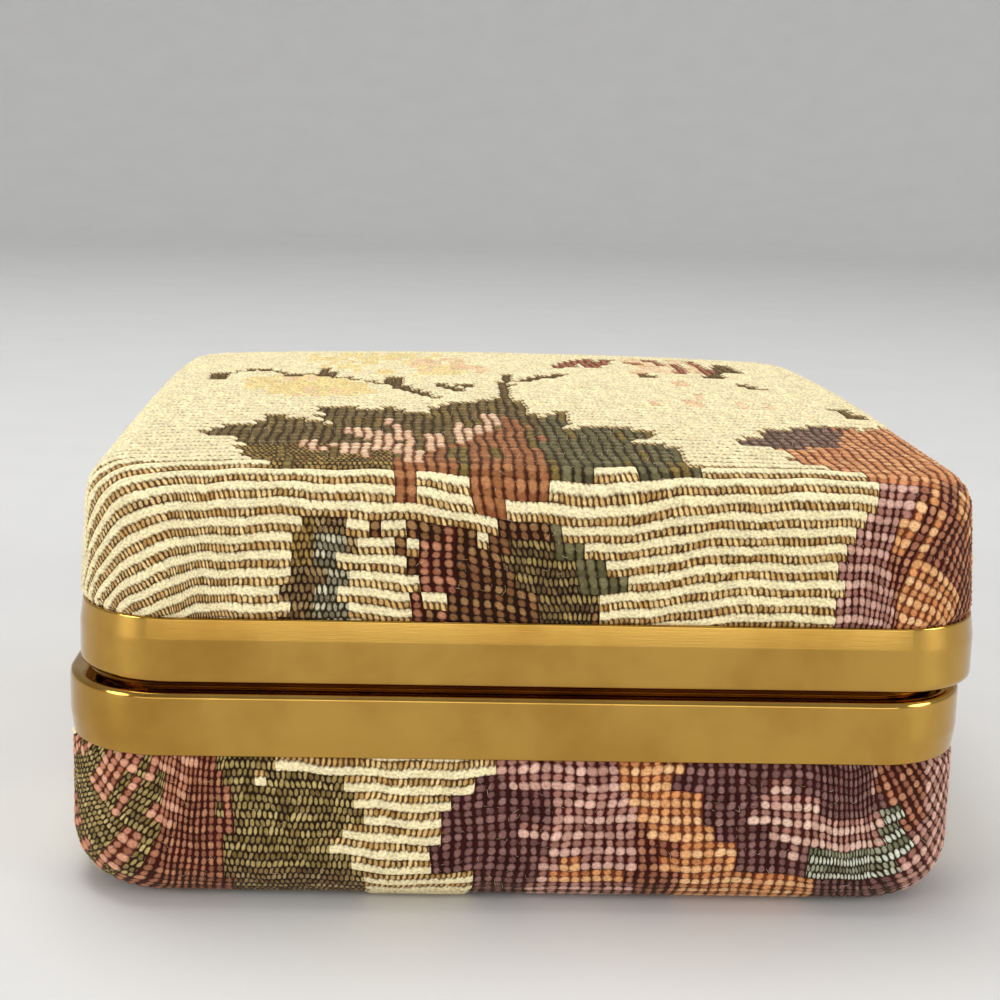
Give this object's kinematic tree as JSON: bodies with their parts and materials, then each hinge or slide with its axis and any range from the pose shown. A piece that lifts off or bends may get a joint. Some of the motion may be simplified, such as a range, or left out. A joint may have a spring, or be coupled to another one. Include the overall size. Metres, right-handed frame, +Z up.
{
  "type": "hinged keepsake box",
  "caption": "Small square hard keepsake box, fabric covered, with a metal rim round each half and a sprung rear hinge.",
  "frame": {"origin": "centre of the base's flat bottom, midway between the outermost faces of the base rim", "axes": "+Z up through the lid, front towards -Y, hinge at +Y, +X to the right seen from the front"},
  "size_m": [0.0769, 0.0776, 0.0378],
  "materials": {
    "shell_board": "matt moulded",
    "tapestry_fabric": "ribbed jacquard weave",
    "gold_tone_metal": "polished gold tone",
    "lining_velvet": "short pile",
    "hinge_brass": "satin",
    "spring_steel": "blued",
    "wadding": "fibrous"
  },
  "bodies": {
    "base": {"base_shell": "shell_board", "base_cover": "tapestry_fabric", "base_rim": "gold_tone_metal", "base_lining_wall": "lining_velvet", "base_lining_floor": "lining_velvet", "base_hinge_leaf": "hinge_brass", "base_hinge_rivets": "hinge_brass", "hinge_pin": "spring_steel", "snap_spring": "spring_steel", "spring_rivets": "hinge_brass"},
    "lid": {"lid_shell": "shell_board", "lid_wadding": "wadding", "lid_cover": "tapestry_fabric", "lid_rim": "gold_tone_metal", "lid_lining_wall": "lining_velvet", "lid_lining_pad": "lining_velvet", "lid_hinge_leaf": "hinge_brass", "lid_hinge_rivets": "hinge_brass"}
  },
  "joints": [
    {"name": "lid_hinge", "type": "hinge", "parent": "base", "child": "lid", "pos_m": [0, 0.0383, 0.019], "axis": [-1, 0, 0], "range_deg": [0, 95], "deforming": ["snap_spring"]}
  ]
}
